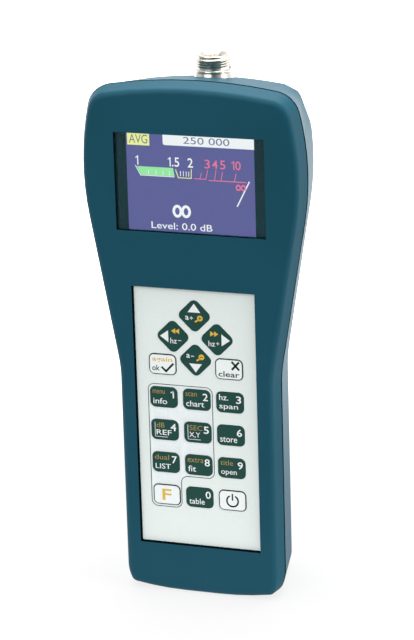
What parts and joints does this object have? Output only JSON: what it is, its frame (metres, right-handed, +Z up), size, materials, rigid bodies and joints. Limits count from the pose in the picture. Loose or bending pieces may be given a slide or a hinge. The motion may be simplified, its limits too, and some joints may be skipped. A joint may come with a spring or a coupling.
{
  "type": "antenna analyzer",
  "caption": "Hand-held antenna analyzer with a flared case, a colour display, a membrane keypad, a threaded coaxial socket on top and a battery cover at the back.",
  "frame": {"origin": "middle of the bounding box at the underside that the case stands on", "axes": "+Z up along the case's length to the connector, -Y out of the front face, +X to the right seen from the front"},
  "size_m": [0.1012, 0.052, 0.2367],
  "materials": {
    "case_teal": "satin moulded ABS",
    "screw_steel": "zinc-plated",
    "clear_window": "clear acrylic",
    "black_mask": "black foam with a printed mask",
    "lcd_glass": "lit display glass",
    "white_plastic": "moulded",
    "tin_plate": "tin-plated sheet steel",
    "amber_film": "polyimide film",
    "green_board": "solder-masked board",
    "keypad_sheet": "fine-textured polyester sheet",
    "key_green": "fine-textured, printed",
    "key_white": "fine-textured, printed",
    "spring_steel": "nickel-plated",
    "black_plastic": "moulded",
    "nickel_plate": "bright nickel plate",
    "gold_plate": "gold plate",
    "copper_tube": "copper-jacketed cable",
    "grey_ribbon": "flat ribbon cable",
    "cell_wrap": "plain shrink sleeve",
    "red_wire": "insulated wire"
  },
  "bodies": {
    "case": {"front_shell": "case_teal", "rear_shell": "case_teal", "case_screws": "screw_steel", "board_screws": "screw_steel", "display_window": "clear_window", "display_gasket": "black_mask", "lcd_panel": "lcd_glass", "lcd_backlight": "white_plastic", "lcd_frame": "tin_plate", "lcd_flex": "amber_film", "display_board": "green_board", "keypad_overlay": "keypad_sheet", "snap_domes": "spring_steel", "keypad_circuit": "green_board", "keypad_tail": "amber_film", "main_board": "green_board", "main_chips": "black_plastic", "rf_shield": "tin_plate", "board_header": "black_plastic", "buzzer": "black_plastic", "n_connector_body": "nickel_plate", "n_connector_insulator": "white_plastic", "n_connector_contact": "gold_plate", "n_connector_nut": "nickel_plate", "n_connector_washer": "nickel_plate", "coax_jumper": "copper_tube", "usb_board": "green_board", "usb_socket": "tin_plate", "usb_insert": "white_plastic", "usb_ribbon": "grey_ribbon", "battery_holder": "black_plastic", "battery_cells": "cell_wrap", "battery_springs": "spring_steel", "battery_plates": "spring_steel", "battery_leads": "red_wire"},
    "battery_cover": {"battery_cover": "case_teal"},
    "key_up": {"key_up": "key_green"},
    "key_left": {"key_left": "key_green"},
    "key_right": {"key_right": "key_green"},
    "key_down": {"key_down": "key_green"},
    "key_ok": {"key_ok": "key_white"},
    "key_cancel": {"key_cancel": "key_white"},
    "key_1": {"key_1": "key_green"},
    "key_2": {"key_2": "key_green"},
    "key_3": {"key_3": "key_green"},
    "key_4": {"key_4": "key_green"},
    "key_5": {"key_5": "key_green"},
    "key_6": {"key_6": "key_green"},
    "key_7": {"key_7": "key_green"},
    "key_8": {"key_8": "key_green"},
    "key_9": {"key_9": "key_green"},
    "key_f": {"key_f": "key_white"},
    "key_0": {"key_0": "key_green"},
    "key_power": {"key_power": "key_white"}
  },
  "joints": [
    {"name": "battery_cover_lift", "type": "slide", "parent": "case", "child": "battery_cover", "axis": [0, 1, 0], "range_m": [0, 0.03]},
    {"name": "key_up_press", "type": "slide", "parent": "case", "child": "key_up", "axis": [0, 1, 0], "range_m": [0, 0.0004], "stiffness_N_per_m": 4000, "deforming": ["snap_domes"]},
    {"name": "key_left_press", "type": "slide", "parent": "case", "child": "key_left", "axis": [0, 1, 0], "range_m": [0, 0.0004], "stiffness_N_per_m": 4000, "deforming": ["snap_domes"]},
    {"name": "key_right_press", "type": "slide", "parent": "case", "child": "key_right", "axis": [0, 1, 0], "range_m": [0, 0.0004], "stiffness_N_per_m": 4000, "deforming": ["snap_domes"]},
    {"name": "key_down_press", "type": "slide", "parent": "case", "child": "key_down", "axis": [0, 1, 0], "range_m": [0, 0.0004], "stiffness_N_per_m": 4000, "deforming": ["snap_domes"]},
    {"name": "key_ok_press", "type": "slide", "parent": "case", "child": "key_ok", "axis": [0, 1, 0], "range_m": [0, 0.0004], "stiffness_N_per_m": 4000, "deforming": ["snap_domes"]},
    {"name": "key_cancel_press", "type": "slide", "parent": "case", "child": "key_cancel", "axis": [0, 1, 0], "range_m": [0, 0.0004], "stiffness_N_per_m": 4000, "deforming": ["snap_domes"]},
    {"name": "key_1_press", "type": "slide", "parent": "case", "child": "key_1", "axis": [0, 1, 0], "range_m": [0, 0.0004], "stiffness_N_per_m": 4000, "deforming": ["snap_domes"]},
    {"name": "key_2_press", "type": "slide", "parent": "case", "child": "key_2", "axis": [0, 1, 0], "range_m": [0, 0.0004], "stiffness_N_per_m": 4000, "deforming": ["snap_domes"]},
    {"name": "key_3_press", "type": "slide", "parent": "case", "child": "key_3", "axis": [0, 1, 0], "range_m": [0, 0.0004], "stiffness_N_per_m": 4000, "deforming": ["snap_domes"]},
    {"name": "key_4_press", "type": "slide", "parent": "case", "child": "key_4", "axis": [0, 1, 0], "range_m": [0, 0.0004], "stiffness_N_per_m": 4000, "deforming": ["snap_domes"]},
    {"name": "key_5_press", "type": "slide", "parent": "case", "child": "key_5", "axis": [0, 1, 0], "range_m": [0, 0.0004], "stiffness_N_per_m": 4000, "deforming": ["snap_domes"]},
    {"name": "key_6_press", "type": "slide", "parent": "case", "child": "key_6", "axis": [0, 1, 0], "range_m": [0, 0.0004], "stiffness_N_per_m": 4000, "deforming": ["snap_domes"]},
    {"name": "key_7_press", "type": "slide", "parent": "case", "child": "key_7", "axis": [0, 1, 0], "range_m": [0, 0.0004], "stiffness_N_per_m": 4000, "deforming": ["snap_domes"]},
    {"name": "key_8_press", "type": "slide", "parent": "case", "child": "key_8", "axis": [0, 1, 0], "range_m": [0, 0.0004], "stiffness_N_per_m": 4000, "deforming": ["snap_domes"]},
    {"name": "key_9_press", "type": "slide", "parent": "case", "child": "key_9", "axis": [0, 1, 0], "range_m": [0, 0.0004], "stiffness_N_per_m": 4000, "deforming": ["snap_domes"]},
    {"name": "key_f_press", "type": "slide", "parent": "case", "child": "key_f", "axis": [0, 1, 0], "range_m": [0, 0.0004], "stiffness_N_per_m": 4000, "deforming": ["snap_domes"]},
    {"name": "key_0_press", "type": "slide", "parent": "case", "child": "key_0", "axis": [0, 1, 0], "range_m": [0, 0.0004], "stiffness_N_per_m": 4000, "deforming": ["snap_domes"]},
    {"name": "key_power_press", "type": "slide", "parent": "case", "child": "key_power", "axis": [0, 1, 0], "range_m": [0, 0.0004], "stiffness_N_per_m": 4000, "deforming": ["snap_domes"]}
  ]
}
